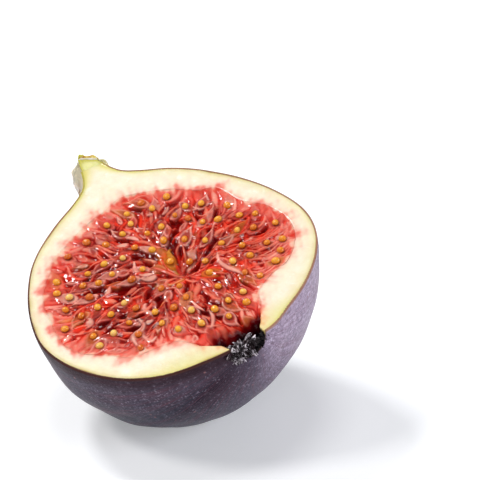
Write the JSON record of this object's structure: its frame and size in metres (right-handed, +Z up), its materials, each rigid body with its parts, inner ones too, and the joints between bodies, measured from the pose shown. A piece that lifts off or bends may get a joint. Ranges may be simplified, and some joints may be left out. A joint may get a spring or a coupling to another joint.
{
  "type": "halved fresh fig",
  "caption": "Half of a fresh dark fig, cut lengthwise from stalk to eye, lying on its back with the red seedy pulp up.",
  "frame": {"origin": "middle of the small flat under the fruit that it rests on", "axes": "+Z up, +Y towards the stalk, -Y towards the eye, +X to the right of the cut face seen from the eye's end"},
  "size_m": [0.0509, 0.0618, 0.034],
  "materials": {
    "skin": "satin",
    "flesh": "satin",
    "pulp": "gloss",
    "seed": "gloss",
    "stalk": "matte"
  },
  "bodies": {
    "root": {"skin": "skin", "flesh": "flesh", "pulp": "pulp", "stalk": "stalk"}
  },
  "joints": []
}
